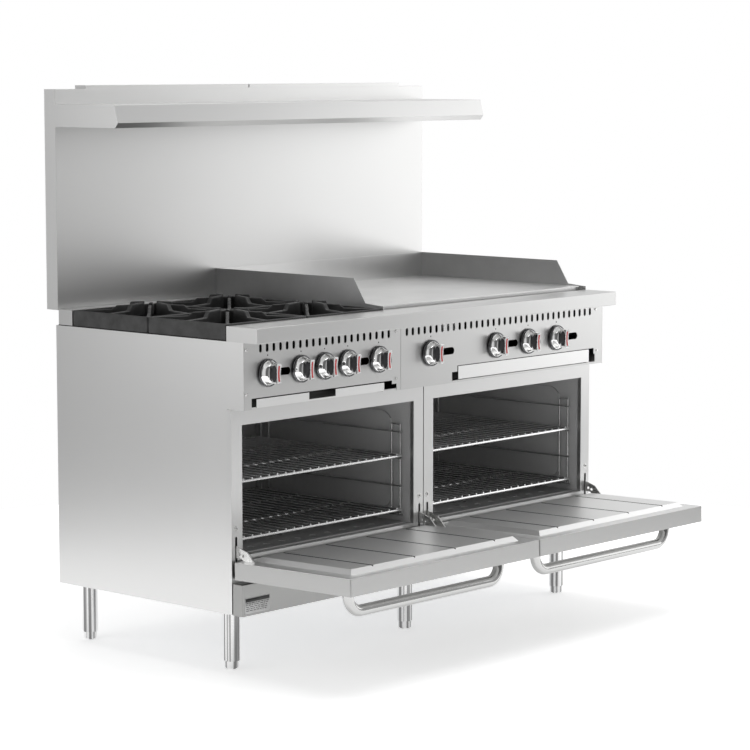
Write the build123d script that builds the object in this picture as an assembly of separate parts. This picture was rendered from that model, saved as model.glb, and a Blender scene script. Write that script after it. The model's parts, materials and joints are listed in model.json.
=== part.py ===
"""Commercial gas range: four open burners and a griddle over two ovens, on six legs.

Millimetres, +Z up, -Y is the cook's side, +X is the cook's right hand.
The origin is the middle of the footprint at floor level, with both oven doors open.

Inside this file a place is given as (across, forward, up): `forward` counts from the
back of the body towards the cook, so Y = SHIFT_Y - forward in the finished part.
"""
from build123d import *
import os
from math import cos, radians, sin

# ---------------------------------------------------------------- driving dimensions
WIDTH = 1524.0               # 60 in
HALF = WIDTH / 2
SHEET = 1.5                  # folded stainless sheet
BODY_BOTTOM = 162.0          # underside of the body, top of the legs
PANEL_TOP = 881.0            # top of the side panels
COOK_TOP = 921.0             # top of the front ledge
TOTAL_TOP = 1526.0           # top of the backguard
BACK = 2.0                   # rear edge of the side panels
LOWER_FRONT = 666.0          # front edge of the side panels beside the ovens
FACE = 679.0                 # front plane of the oven frames
PANEL_FACE = 726.0           # front plane of the control panels
LEDGE_FRONT = 776.0
LEDGE_BACK = 664.0
PANEL_BOTTOM = 705.0         # bottom of the control panels
GUARD_BACK = -35.0           # backguard, rear and front planes
GUARD_FRONT = 10.0

BURNER_RIGHT = -153.5        # the open burners end here, the griddle begins
GRIDDLE_LEFT = -152.0

# ovens: one module each side of the middle
OPENING = (41.6, 722.0)      # from the middle outwards
OPENING_Z = (315.0, 660.0)
OVEN_BACK = 60.0
OVEN_MID = (OPENING[0] + OPENING[1]) / 2

# doors, drawn lying open and level, then tipped up by DOOR_REST
PIVOT = (693.0, 290.0)       # forward, up
DOOR_REST = 1.2              # degrees short of level, front edge high
DOOR_Z = (257.0, 302.0)      # outer face, rim
DOOR_BACK = 686.5
DOOR_FRONT = 1098.0
DOOR_GAP = 1.2               # half of the gap between the doors
DOOR_SIDE = HALF - 0.8
DOOR_MID = (DOOR_GAP + DOOR_SIDE) / 2
HINGE_OFFSET = 364.0         # hinge arms from the middle of the door
BRACKET_OFFSET = 320.0       # pivot brackets from the middle of the door
HANDLE_OFFSET = 302.0        # handle legs from the middle of the door

KNOB_Z = 797.0
BURNER_VALVES = (-673.0, -547.0, -365.0, -241.0)
GRIDDLE_VALVES = (-24.0, 260.0, 539.0)
OVEN_VALVES = (-456.0, 407.0)
PIPE_X = 728.0               # gas inlet, and the run of the manifold
PIPE_Z = 765.0
PIPE_FORWARD = 686.0
PIPE_R = 13.35               # 3/4 in pipe
SPINDLE_R = 4.0
DECK_TOP = 702.5             # the sheet over the ovens
TRAY_SHEET = 1.2
RUNNING_GAP = 0.05           # radial, spindle in valve

FRAME_TOP = 703.0            # top of the oven frames
FRAME_GAP = 1.4              # half of the gap between the oven frames
HINGE_SLOT_Z = 334.0         # slots that the hinge arms pass through
HINGE_HOLE_Z = 390.0         # fixing holes above them
GUIDE_LEVELS = (344.0, 418.0, 497.0, 571.0)      # arms of the rack guides
WIRE_R = 3.0
SPRING_FOOT = 212.0          # where the door springs start, and how far forward they stand
SPRING_FORWARD = 653.0

# cooking top
BURNER_X = (-610.0, -303.0)
BURNER_FORWARD = (217.0, 516.0)
GRATE_X = ((-HALF, -457.6), (-456.4, BURNER_RIGHT - 0.4))
GRATE_FORWARD = ((69, 366.4), (367.6, 663.4))
GRATE_BASE = PANEL_TOP + 3.0
GRATE_RIM = 926.0
GRIDDLE_Z = (909.0, 931.0)
SPLASH_TOP = 1004.0

# front
LEFT_PANEL = (-HALF + SHEET + 0.3, -150.5)
RIGHT_PANEL = (-149.5, HALF - SHEET - 0.3)
VENT = (10.0, 21.5)          # width and height of one vent slot
VENT_Z = 862.5
PANEL_SCREWS = (             # across, up
    (-752, 862), (-752, 746), (-170, 868), (-170, 738), (728, 868), (736, 744),
)

LEG_X = (-695.0, 0.0, 695.0)
LEG_FORWARD = (52.0, 610.0)
LEG_R = 21.0
FOOT_HEIGHT = 22.0
FOOT_R = 17.5
STUD_R = 8.0

# the whole part is moved back by this, so that the origin is the middle of the footprint
DOOR_REACH = (
    PIVOT[0]
    + (DOOR_FRONT - PIVOT[0]) * cos(radians(DOOR_REST))
    - (DOOR_Z[0] - PIVOT[1]) * sin(radians(DOOR_REST))
)
SHIFT_Y = (GUARD_BACK + DOOR_REACH) / 2

nodes = {}


# ---------------------------------------------------------------- helpers
def add(name, *solids):
    """Puts separate solids into one node."""
    nodes.setdefault(name, []).extend(solids)


def point(place):
    """(across, forward, up) as a build123d point."""
    return Vector(place[0], -place[1], place[2])


def block(across, forward, up):
    """A box from three (low, high) spans."""
    size = [span[1] - span[0] for span in (across, forward, up)]
    middle = [(span[0] + span[1]) / 2 for span in (across, forward, up)]
    return Pos(*point(middle)) * Box(*size)


def mirrored(span):
    """A span across, mirrored to the other side of the middle."""
    return (-span[1], -span[0])


def rod(start, end, radius):
    """A straight round bar between two places."""
    run = point(end) - point(start)
    plane = Plane(origin=point(start), z_dir=run)
    return Solid.make_cylinder(radius, run.length, plane)


def bent_rod(places, radius, bend):
    """A round bar along straight runs joined by arcs."""
    path = FilletPolyline(*[point(place) for place in places], radius=bend)
    start = Plane(origin=path @ 0, z_dir=path % 0)
    return sweep(start * Circle(radius), path=path)


def side_plate(outline, across):
    """A plate standing along the forward axis, from (forward, up) points."""
    face = make_face(Polyline(*[point((across[0], *spot)) for spot in outline], close=True))
    return extrude(face, amount=across[1] - across[0], dir=(1, 0, 0))


def slot_cut(middle, width, height, depth=8.0):
    """A round-ended slot through a front panel."""
    radius = min(width, height) / 2
    cut = block(
        (middle[0] - width / 2, middle[0] + width / 2),
        (middle[1] - depth / 2, middle[1] + depth / 2),
        (middle[2] - height / 2, middle[2] + height / 2),
    )
    return fillet(cut.edges().filter_by(Axis.Y), radius * 0.99)


def fused(shapes):
    """One solid from shapes that touch or overlap."""
    first, *rest = shapes
    return first.fuse(*rest)


def side_name(side):
    return "left" if side < 0 else "right"


def sided(side, span):
    """A span given on the right-hand side, on the side asked for."""
    return span if side > 0 else mirrored(span)


# ---------------------------------------------------------------- body
def side_panel(side):
    """Outer skin with the flanges folded in at its rear and its foot, as separate sheets."""
    outline = [
        (BACK, BODY_BOTTOM),
        (LOWER_FRONT, BODY_BOTTOM),
        (LOWER_FRONT, PANEL_BOTTOM - 1),
        (PANEL_FACE, PANEL_BOTTOM - 1),
        (PANEL_FACE, PANEL_TOP),
        (BACK, PANEL_TOP),
    ]
    inner = HALF - SHEET
    foot_top = BODY_BOTTOM + SHEET
    return [
        side_plate(outline, sided(side, (inner, HALF))),
        block(sided(side, (inner - 16, inner)), (BACK, BACK + SHEET), (foot_top, PANEL_TOP)),
        block(sided(side, (inner - 20, inner)), (BACK, LOWER_FRONT), (BODY_BOTTOM, foot_top)),
    ]


def back_panel():
    panel = block((-744, 744), (5, 5 + SHEET), (170, 878))
    for row_z in (240, 760, 800):
        for number in range(12):
            middle = (-616 + number * 112, 5.75, row_z)
            panel -= slot_cut(middle, 70, 8)
    return panel - rod((PIPE_X, 0, PIPE_Z), (PIPE_X, 12, PIPE_Z), 15.5)


def base_frame():
    z = (BODY_BOTTOM + 4, BODY_BOTTOM + 44)

    def rail(across, forward):
        tube = block(across, forward, z)
        wall = 2.0
        long_across = across[1] - across[0] > forward[1] - forward[0]
        hollow_across = across if long_across else (across[0] + wall, across[1] - wall)
        hollow_forward = (forward[0] + wall, forward[1] - wall) if long_across else forward
        return tube - block(hollow_across, hollow_forward, (z[0] + wall, z[1] - wall))

    rails = [
        rail((-738, 738), (32, 72)),
        rail((-738, 738), (590, 630)),
        rail((-738, -698), (72, 590)),
        rail((-20, 20), (72, 590)),
        rail((698, 738), (72, 590)),
    ]
    pan = block((-758, 758), (12, 664), (z[1], z[1] + SHEET))
    plates = [
        block((x - 40, x + 40), (u - 30, u + 30), (BODY_BOTTOM, z[0]))
        for x in LEG_X
        for u in LEG_FORWARD
    ]
    return fused([pan] + rails + plates)


def toe_panel():
    depth = (683.0, 717.0)
    z = (BODY_BOTTOM, 245.5)
    shell = block((-HALF, HALF), depth, z)
    shell -= block(
        (-HALF + SHEET, HALF - SHEET), (depth[0] - 1, depth[1] - SHEET), (z[0] + SHEET, z[1] - SHEET)
    )
    feet = [
        block((x - 25, x + 25), (FACE, depth[1] - SHEET), (z[1] - 14, z[1] - SHEET))
        for x in (-640, -220, 220, 640)
    ]
    return fused([shell] + feet)


def oven_frame(side):
    """Folded stainless frame round one oven's mouth, with the hinge slots."""
    across = sided(side, (FRAME_GAP, HALF))
    z = (BODY_BOTTOM + 1, FRAME_TOP)
    mouth = sided(side, OPENING)
    frame = block(across, (LOWER_FRONT, FACE), z)
    frame -= block(
        (across[0] + SHEET, across[1] - SHEET),
        (LOWER_FRONT - 1, FACE - SHEET),
        (z[0] + SHEET, z[1] - SHEET),
    )
    collar = block(
        (mouth[0] - SHEET, mouth[1] + SHEET),
        (LOWER_FRONT, FACE - SHEET / 2),
        (OPENING_Z[0] - SHEET, OPENING_Z[1] + SHEET),
    )
    frame = fused([frame, collar])
    frame -= block(mouth, (LOWER_FRONT - 1, FACE + 1), OPENING_Z)
    for end in (-1, 1):
        x = side * DOOR_MID + end * HINGE_OFFSET
        frame -= slot_cut((x, FACE - SHEET / 2, HINGE_SLOT_Z), 8, 68)
        frame -= rod((x, FACE - 6, HINGE_HOLE_Z), (x, FACE + 1, HINGE_HOLE_Z), 2.2)
    return frame


def hinge_bracket(side, end):
    """Fixed ear that carries one pivot of a door."""
    x = side * DOOR_MID + end * BRACKET_OFFSET
    ear = block((x - 2, x + 2), (FACE, PIVOT[0]), (PIVOT[1] - 7, PIVOT[1] + 7))
    nose = rod((x - 2, *PIVOT), (x + 2, *PIVOT), 7)
    bore = rod((x - 3, *PIVOT), (x + 3, *PIVOT), 5 + RUNNING_GAP)
    return fused([ear, nose]) - bore


def leg(x, forward):
    plug = FOOT_HEIGHT + 20
    tube = rod((x, forward, FOOT_HEIGHT), (x, forward, BODY_BOTTOM), LEG_R)
    tube -= rod((x, forward, plug), (x, forward, BODY_BOTTOM - 3), LEG_R - 1.8)
    return tube - rod((x, forward, FOOT_HEIGHT - 1), (x, forward, plug + 1), STUD_R + RUNNING_GAP)


def foot(x, forward):
    """Short round foot on its levelling stud."""
    shoulder = FOOT_HEIGHT - 0.3
    stud_top = FOOT_HEIGHT + 55
    profile = Polyline(
        (0, 0), (FOOT_R - 3.5, 0), (FOOT_R, 3), (FOOT_R, shoulder), (STUD_R, shoulder),
        (STUD_R, stud_top), (0, stud_top), close=True,
    )
    turned = revolve(Plane.XZ * make_face(profile), Axis.Z)
    return Pos(x, -forward, 0) * turned


# ---------------------------------------------------------------- ovens
def wall_pad(across, forward, up):
    """A raised, round-cornered field pressed into an oven wall."""
    pad = block(across, forward, up)
    spans = (across, forward, up)
    thin = min(range(3), key=lambda axis: spans[axis][1] - spans[axis][0])
    direction = (Axis.X, Axis.Y, Axis.Z)[thin]
    return fillet(pad.edges().filter_by(direction), 40)


def oven_liner(side):
    mouth = sided(side, OPENING)
    liner = block(
        (mouth[0] - SHEET, mouth[1] + SHEET),
        (OVEN_BACK - SHEET, LOWER_FRONT - 0.2),
        (OPENING_Z[0] - SHEET, OPENING_Z[1] + SHEET),
    )
    liner -= block(mouth, (OVEN_BACK, LOWER_FRONT + 1), OPENING_Z)
    pads = [
        wall_pad((mouth[0], mouth[0] + 4), (120, 600), (350, 625)),
        wall_pad((mouth[1] - 4, mouth[1]), (120, 600), (350, 625)),
        wall_pad((mouth[0] + 60, mouth[1] - 60), (OVEN_BACK, OVEN_BACK + 4), (350, 625)),
    ]
    return fused([liner] + pads)


def oven_floor(side):
    mouth = sided(side, OPENING)
    floor = block((mouth[0] + 3, mouth[1] - 3), (OVEN_BACK + 3, 655), (OPENING_Z[0] + 0.3, OPENING_Z[0] + 2))
    for number in range(9):
        x = side * OVEN_MID + (number - 4) * 60
        for forward in (110, 610):
            floor -= Pos(x, -forward, OPENING_Z[0]) * Cylinder(9, 10)
    return floor


def rack_guide(side, end):
    """Chromed wire ladder that hangs on one side wall of an oven."""
    mouth = sided(side, OPENING)
    wall = mouth[0] if end < 0 else mouth[1]
    upright_x = wall - end * 8
    arm_x = wall - end * 12.8
    foot_z, top_z = GUIDE_LEVELS[0] - 8, 592
    rear, front = 80, 648
    arms = [rod((arm_x, rear, z), (arm_x, front, z), WIRE_R) for z in GUIDE_LEVELS]
    foot_wire = rod((upright_x, rear, foot_z), (upright_x, front, foot_z), WIRE_R)
    uprights = []
    for pair in ((90, 122), (604, 636)):
        uprights += [rod((upright_x, u, foot_z), (upright_x, u, top_z), WIRE_R) for u in pair]
        uprights.append(rod((upright_x, pair[0], top_z), (upright_x, pair[1], top_z), WIRE_R))
    return fused([foot_wire] + uprights + arms)


def oven_rack(side, level):
    mouth = sided(side, OPENING)
    z = level + 7.3
    left = mouth[0] + 15
    right = mouth[1] - 15
    rails = [
        rod((x, 76, z), (x, 646, z), 4) for x in (left, right)
    ] + [
        rod((left, forward, z), (right, forward, z), 4) for forward in (76, 646)
    ] + [
        rod((left, forward, z), (right, forward, z), 3) for forward in (260, 460)
    ]
    wires = [
        rod((side * OVEN_MID + (number - 9.5) * 32, 74, z + 5.8),
            (side * OVEN_MID + (number - 9.5) * 32, 649, z + 5.8), 2.5)
        for number in range(20)
    ]
    return fused(rails + wires)


def oven_burner(side):
    """Straight tube burner with its bell-mouthed venturi, below the oven floor."""
    x = side * OVEN_MID
    tube = rod((x, 120, 265), (x, 600, 265), 19)
    throat = rod((x, 600, 265), (x, 640, 265), 14)
    bell = Pos(x, -648, 265) * Rot(90, 0, 0) * Cone(14, 22, 16)
    stands = [block((x - 3, x + 3), (forward, forward + 30), (207.5, 250)) for forward in (150, 540)]
    return fused([tube, throat, bell] + stands)


def insulation():
    inner = OPENING[1] + SHEET
    slabs = []
    for side in (-1, 1):
        slabs.append(block(sided(side, (inner, HALF - SHEET)), (60, 600), (255, 700)))
        slabs.append(block(sided(side, (OPENING[0] - SHEET, inner)), (60, 655), (OPENING_Z[1] + SHEET, 700)))
        slabs.append(block(sided(side, (OPENING[0] - SHEET, inner)), (9, OVEN_BACK - SHEET), (255, 700)))
    slabs.append(block((-OPENING[0] + SHEET, OPENING[0] - SHEET), (9, 600), (255, 700)))
    return slabs


# ---------------------------------------------------------------- doors
def tipped(shape):
    """From lying level to the pose in which the open door rests."""
    axis = Axis(point((0, *PIVOT)), (-1, 0, 0))
    return shape.rotate(axis, DOOR_REST)


def door_span(side, inset=0.0):
    return sided(side, (DOOR_GAP + inset, DOOR_SIDE - inset))


def door_pan(side):
    pan = block(door_span(side), (DOOR_BACK, DOOR_FRONT), DOOR_Z)
    pan = fillet(pan.edges().filter_by(Axis.Z), 4)
    pan -= block(
        door_span(side, SHEET), (DOOR_BACK + SHEET, DOOR_FRONT - SHEET), (DOOR_Z[0] + SHEET, DOOR_Z[1] + 1)
    )
    for end in (-1, 1):
        x = side * DOOR_MID + end * BRACKET_OFFSET
        for ear in (-1, 1):
            low, high = sorted((x + ear * 5, x + ear * 8))
            plate = block((low, high), (DOOR_BACK + SHEET, PIVOT[0] + 9), (DOOR_Z[0] + SHEET, PIVOT[1] + 8))
            pan = fused([pan, plate - rod((low - 1, *PIVOT), (high + 1, *PIVOT), 5)])
        pan -= block((x - 4, x + 4), (DOOR_BACK - 1, DOOR_BACK + SHEET + 0.5), (DOOR_Z[0] + 5, DOOR_Z[1] + 1))
    return pan


def raised_field(side, inset, drop):
    """The bevelled field of a door's inner panel, shrunk and lowered to make its underside."""
    low, high = sided(side, OPENING)
    across = high - low - 8 - 2 * inset
    forward = (722.0 + inset, 1062.0 - inset)
    middle = Pos((low + high) / 2, -(forward[0] + forward[1]) / 2, DOOR_Z[1] - drop)
    face = middle * Rectangle(across, forward[1] - forward[0])
    return extrude(face, amount=14, taper=40)


def door_inner(side):
    top = DOOR_Z[1] + 14
    panel = block(door_span(side, 0.4), (DOOR_BACK + 4, DOOR_FRONT - 1), (DOOR_Z[1], DOOR_Z[1] + 1.2))
    panel = fused([panel, raised_field(side, 0, 0)])
    hollow = raised_field(side, 1.5, 1.5)
    for number in range(4):
        x = side * OVEN_MID + (number - 1.5) * 163
        panel -= Pos(x, -892, top) * Rot(0, 45, 0) * Box(5.4, 400, 5.4)
        hollow -= block((x - 6, x + 6), (700, 1080), (top - 6, top))
    panel -= hollow
    for end in (-1, 1):
        x = side * DOOR_MID + end * BRACKET_OFFSET
        panel -= block((x - 4, x + 4), (DOOR_BACK, PIVOT[0] + 10), (DOOR_Z[1] - 1, DOOR_Z[1] + 2))
    return panel


def door_wool(side):
    return block(door_span(side, 12), (716, DOOR_FRONT - 8), (DOOR_Z[0] + 3, DOOR_Z[1] - 2.5))


def door_handle(side):
    """Bent tube with two legs, standing off the outer face near the free edge."""
    forward = 1018.0
    reach = DOOR_Z[0] - 60
    ends = (side * DOOR_MID - HANDLE_OFFSET, side * DOOR_MID + HANDLE_OFFSET)
    route = [
        (ends[0], forward, DOOR_Z[0]),
        (ends[0], forward, reach),
        (ends[1], forward, reach),
        (ends[1], forward, DOOR_Z[0]),
    ]
    return bent_rod(route, 15, 44) - bent_rod(route, 13, 44)


def hinge_arm(side, end):
    """Pressed arm, welded to the door on edge, that carries its weight to a spring behind the frame."""
    x = side * DOOR_MID + end * HINGE_OFFSET
    rim = DOOR_Z[1] + 1.2
    outline = [
        (650, 336), (664, 345), (680, 345), (720, 331), (746, rim), (712, rim),
        (700, 313), (676, 313), (660, 320),
    ]
    plate = side_plate(outline, (x - 1.75, x + 1.75))
    plate -= rod((x - 3, 664, 335), (x + 3, 664, 335), 3)
    for place in ((694, 324), (706, 320)):
        plate -= rod((x - 3, *place), (x + 3, *place), 4)
    return plate


def hinge_pin(side, end):
    x = side * DOOR_MID + end * BRACKET_OFFSET
    return rod((x - 9, *PIVOT), (x + 9, *PIVOT), 5)


def door_spring(side, end):
    """Close-wound extension spring from a hinge arm down to the base, drawn as its ribs."""
    x = side * DOOR_MID + end * HINGE_OFFSET
    top = 324.0
    hook = rod((x, SPRING_FORWARD, top - 6), (x, SPRING_FORWARD, top), 1.5)
    stem = rod((x, SPRING_FORWARD, SPRING_FOOT - 4.5), (x, SPRING_FORWARD, SPRING_FOOT), 3)
    coils = 18
    pitch = (top - 6 - SPRING_FOOT) / coils
    turns = [
        Pos(x, -SPRING_FORWARD, SPRING_FOOT + (number + 0.5) * pitch) * Torus(5.5, pitch * 0.52)
        for number in range(coils)
    ]
    core = rod((x, SPRING_FORWARD, SPRING_FOOT), (x, SPRING_FORWARD, top - 6), 4.5)
    return fused([core, stem, hook] + turns)


# ---------------------------------------------------------------- cooking top
def burner_box():
    """Open-bottomed box of flat sheets round the four burners, with the ledges that carry the grates."""
    rear, front = 12.0, 634.0
    left, right = -758.0, BURNER_RIGHT - SHEET
    floor_z, bar_z = DECK_TOP, PANEL_TOP - 22
    inside = (left + SHEET, right)
    walls = [
        block((left, inside[0]), (rear, LEDGE_BACK), (floor_z, PANEL_TOP)),
        block((right, right + SHEET), (rear, LEDGE_BACK), (floor_z, PANEL_TOP)),
        block(inside, (rear, rear + SHEET), (floor_z, PANEL_TOP)),
    ]
    shield = block(inside, (front, front + SHEET), (752, bar_z))
    for x in BURNER_VALVES:
        shield -= rod((x, front - 2, KNOB_Z), (x, front + 4, KNOB_Z), 18)
    middle_bar = (-463, -451)
    bars = [
        block(middle_bar, (rear + SHEET, LEDGE_BACK), (bar_z, PANEL_TOP)),
        block((inside[0], middle_bar[0]), (361, 373), (bar_z, PANEL_TOP)),
        block((middle_bar[1], inside[1]), (361, 373), (bar_z, PANEL_TOP)),
    ]
    return walls + [shield] + bars + burner_seat((rear, LEDGE_BACK))


def burner_seat(depth):
    """Strips of the flat top sheet round the four grate openings."""
    up = (PANEL_TOP, PANEL_TOP + 2.5)
    rows = ((84, 359), (375, 646))
    strips = [
        block((-HALF, BURNER_RIGHT), forward, up)
        for forward in ((depth[0], rows[0][0]), (rows[0][1], rows[1][0]), (rows[1][1], depth[1]))
    ]
    for across in ((-HALF, -744), (-464, -450), (-170, BURNER_RIGHT)):
        strips += [block(across, forward, up) for forward in rows]
    return strips


def griddle_box():
    """Box of flat sheets under the griddle plate."""
    rear, front = 13.0, 634.0
    left, right = GRIDDLE_LEFT + 2.3, 758.0
    up = (DECK_TOP, GRIDDLE_Z[0])
    inside = (left + SHEET, right - SHEET)
    tie_z = up[1] - 12
    back = block(inside, (rear, rear + SHEET), up)
    back -= rod((PIPE_X, rear - 2, PIPE_Z), (PIPE_X, rear + 4, PIPE_Z), 16)
    shield = block(inside, (front, front + SHEET), (756, up[1]))
    for x, z, radius in [(x, KNOB_Z, 18) for x in GRIDDLE_VALVES] + [(PIPE_X, PIPE_Z, 16)]:
        shield -= rod((x, front - 2, z), (x, front + 4, z), radius)
    ties = [block(inside, (u, u + 20), (tie_z, up[1])) for u in (200, 420)]
    sides = [block(across, (rear, 640), up) for across in ((left, inside[0]), (inside[1], right))]
    return [*sides, back, shield, *ties]


def deck():
    """Sheet over the ovens that the trays slide above."""
    return block((-758, 758), (12, 664), (DECK_TOP - SHEET, DECK_TOP))


def tray_runner(across, level, outer):
    """Angle that one edge of a tray slides on: a ledge, and a lip that stands on the deck."""
    low, high = across
    lip = (low, low + TRAY_SHEET) if outer < 0 else (high - TRAY_SHEET, high)
    ledge = (lip[1], high) if outer < 0 else (low, lip[0])
    length = (80, 700)
    return [
        block(ledge, length, (level, level + TRAY_SHEET)),
        block(lip, length, (DECK_TOP, 730)),
    ]


def front_ledge():
    z = (PANEL_TOP, COOK_TOP)
    ledge = block((-HALF, HALF), (LEDGE_BACK, LEDGE_FRONT), z)
    ledge = fillet(ledge.edges().filter_by(Axis.X).group_by(Axis.Y)[0], 2)
    ledge -= block(
        (-HALF + SHEET, HALF - SHEET), (LEDGE_BACK + SHEET, LEDGE_FRONT - SHEET), (z[0] + SHEET, z[1] - SHEET)
    )
    return ledge - block((-HALF + SHEET, HALF - SHEET), (LEDGE_BACK + SHEET, 727), (z[0] - 1, z[0] + 3))


def rear_rail():
    """Closed box behind the rear grates."""
    outer = block((-HALF, BURNER_RIGHT), (13, 68), (PANEL_TOP + 2.5, 925))
    return outer - block((-HALF + SHEET, BURNER_RIGHT - SHEET), (14.5, 66.5), (PANEL_TOP + 1, 923.5))


def finger(centre, turn, reach, start, width, tip):
    """One pot-support arm: low at the rim, rising to a thick tip near the middle."""
    outline = [
        (start, GRATE_BASE + 16), (start, GRATE_RIM), (reach * 0.55, GRATE_RIM + 3),
        (reach * 0.48, tip - 3), (34, tip), (30, tip), (30, tip - 36), (46, tip - 36),
        (56, GRATE_BASE + 22),
    ]
    face = make_face(Polyline(*[(spot[0], 0, spot[1]) for spot in outline], close=True))
    arm = extrude(face, amount=width / 2, dir=(0, 1, 0), both=True)
    return Pos(centre[0], -centre[1], 0) * Rot(0, 0, turn) * arm


def grate(across, forward):
    centre = ((across[0] + across[1]) / 2, (forward[0] + forward[1]) / 2)
    bar = 8.0
    rim = block(across, forward, (GRATE_BASE, GRATE_RIM))
    rim = fillet(rim.edges().filter_by(Axis.Z), 6)
    rim -= block(
        (across[0] + bar, across[1] - bar), (forward[0] + bar, forward[1] - bar), (GRATE_BASE - 1, GRATE_RIM + 1)
    )
    half = (across[1] - across[0]) / 2
    deep = (forward[1] - forward[0]) / 2
    arms = [finger(centre, turn, half, half - bar / 2, 15, 948) for turn in (0, 180)]
    arms += [finger(centre, turn, deep, deep - bar / 2, 15, 948) for turn in (90, 270)]
    for turn in (45, 135, 225, 315):
        arms.append(finger(centre, turn, half * 1.25, half * 1.32, 9, 942))
    return fused([rim] + arms)


def open_burner(valve_x, centre):
    """Cast burner: bell mouth and mixing tube from the valve, riser and ported head."""
    x, u = centre
    tube = rod((valve_x, 638, KNOB_Z), (valve_x, u, KNOB_Z), 13)
    bell = rod((valve_x, 622, KNOB_Z), (valve_x, 638, KNOB_Z), 16)
    jog = rod((valve_x, u, KNOB_Z), (x, u, KNOB_Z), 13)
    corner = Pos(valve_x, -u, KNOB_Z) * Sphere(13)
    riser = rod((x, u, KNOB_Z - 13), (x, u, 868), 20)
    head = rod((x, u, 866), (x, u, 884), 52)
    bowl = Pos(x, -u, 857) * Cone(22, 52, 18)
    return fused([riser, head, bowl, tube, bell, jog, corner])


def burner_cap(centre):
    """Removable port ring: a slotted disc that lies on the head."""
    x, u = centre
    cap = rod((x, u, 884), (x, u, 893), 48)
    dome = Pos(x, -u, 895.5) * Cone(48, 38, 5)
    ring = fused([cap, dome])
    for number in range(16):
        cut = Pos(48, 0, 886.5) * Box(14, 4, 5)
        ring -= Pos(x, -u, 0) * Rot(0, 0, number * 22.5) * cut
    return ring - rod((x, u, 883), (x, u, 899), 9)


def griddle_burner(x):
    route = [(x, 638, KNOB_Z), (x, 560, KNOB_Z), (x, 500, 850), (x, 90, 850)]
    bell = rod((x, 626, KNOB_Z), (x, 638, KNOB_Z), 16)
    return fused([bent_rod(route, 13, 30), bell])


def splash_side(across):
    rear, front = GUARD_FRONT + 0.5, LEDGE_BACK - 0.5
    foot = PANEL_TOP + 3
    outline = [
        (rear, foot), (rear, SPLASH_TOP), (553, SPLASH_TOP), (597, 936), (front, GRIDDLE_Z[1]), (front, foot),
    ]
    return side_plate(outline, across)


def griddle_splash():
    rear = block((GRIDDLE_LEFT, HALF), (10.5, 12.5), (PANEL_TOP + 3, SPLASH_TOP))
    return fused([rear, splash_side((GRIDDLE_LEFT, GRIDDLE_LEFT + 2)), splash_side((HALF - 2, HALF))])


def griddle_plate():
    plate = block((GRIDDLE_LEFT + 2.3, HALF - 2.3), (13, 642), GRIDDLE_Z)
    return fillet(plate.edges().filter_by(Axis.X).group_by(Axis.Y)[0], 2)


def grease_trough():
    """Channel in front of the griddle, with a chute down to the grease drawer."""
    across = (GRIDDLE_LEFT + 2.3, HALF - 2.3)
    channel = block(across, (643, 663.6), (892, 908.5))
    channel -= block((across[0] + SHEET, across[1] - SHEET), (644.5, 662.1), (893.5, 912))
    chute = block((100, 160), (644, 662), (770, 893))
    hole = block((101.5, 158.5), (645.5, 660.5), (769, 895))
    return fused([channel, chute]) - hole


# ---------------------------------------------------------------- front
def panel_sheet(across, top_flange):
    sheet = block(across, (PANEL_FACE - SHEET, PANEL_FACE), (PANEL_BOTTOM, PANEL_TOP - 0.5))
    flange = block(across, (PANEL_FACE - top_flange, PANEL_FACE), (PANEL_TOP - 0.5 - SHEET, PANEL_TOP - 0.5))
    return fused([sheet, flange])


def panel_vents(first, last, pitch=25.0):
    count = int(round((last - first) / pitch)) + 1
    return [slot_cut((first + number * pitch, PANEL_FACE, VENT_Z), *VENT) for number in range(count)]


def cut_all(shape, cuts):
    for cut in cuts:
        shape -= cut
    return shape


def knob_cuts(valves, windows, offset, width):
    """Holes for the spindles, and the flame windows to the right of some of them."""
    cuts = [rod((x, PANEL_FACE - 4, KNOB_Z), (x, PANEL_FACE + 2, KNOB_Z), 6.5) for x in valves]
    cuts += [slot_cut((x + offset, PANEL_FACE, KNOB_Z - 1), width, 20) for x in windows]
    return cuts


def screw_holes():
    return [rod((x, PANEL_FACE - 4, z), (x, PANEL_FACE + 1, z), 2.2) for x, z in PANEL_SCREWS]


def control_panel_left():
    panel = panel_sheet(LEFT_PANEL, 14)
    panel = cut_all(panel, panel_vents(-699.5, -199.5) + screw_holes())
    valves = [x for x in BURNER_VALVES + OVEN_VALVES if x < -150]
    panel = cut_all(panel, knob_cuts(valves, BURNER_VALVES[0:1] + BURNER_VALVES[2:3], 60, 52))
    opening = block((-733, -186), (PANEL_FACE - 20, PANEL_FACE + 2), (PANEL_BOTTOM - 1, 734))
    step = block((-190, -167), (PANEL_FACE - 20, PANEL_FACE + 2), (PANEL_BOTTOM - 1, 724))
    return panel - opening - step


def control_panel_right():
    panel = panel_sheet(RIGHT_PANEL, 14)
    panel = cut_all(panel, panel_vents(-124.5, 700.5) + screw_holes())
    valves = [x for x in GRIDDLE_VALVES + OVEN_VALVES if x > -150]
    panel = cut_all(panel, knob_cuts(valves, GRIDDLE_VALVES, 70, 62))
    opening = block((91, 720), (PANEL_FACE - 20, PANEL_FACE + 2), (711, 752))
    step = block((68, 726), (PANEL_FACE - 20, PANEL_FACE + 2), (711, 735))
    return panel - opening - step


def screw(place):
    """Pan-head screw, driven backwards."""
    x, forward, z = place
    shank = rod((x, forward - 9, z), (x, forward + 0.4, z), 2)
    head = Pos(x, -forward - 1.4, z) * Rot(90, 0, 0) * Cone(4.6, 3.2, 2.6)
    return fused([shank, head])


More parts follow.
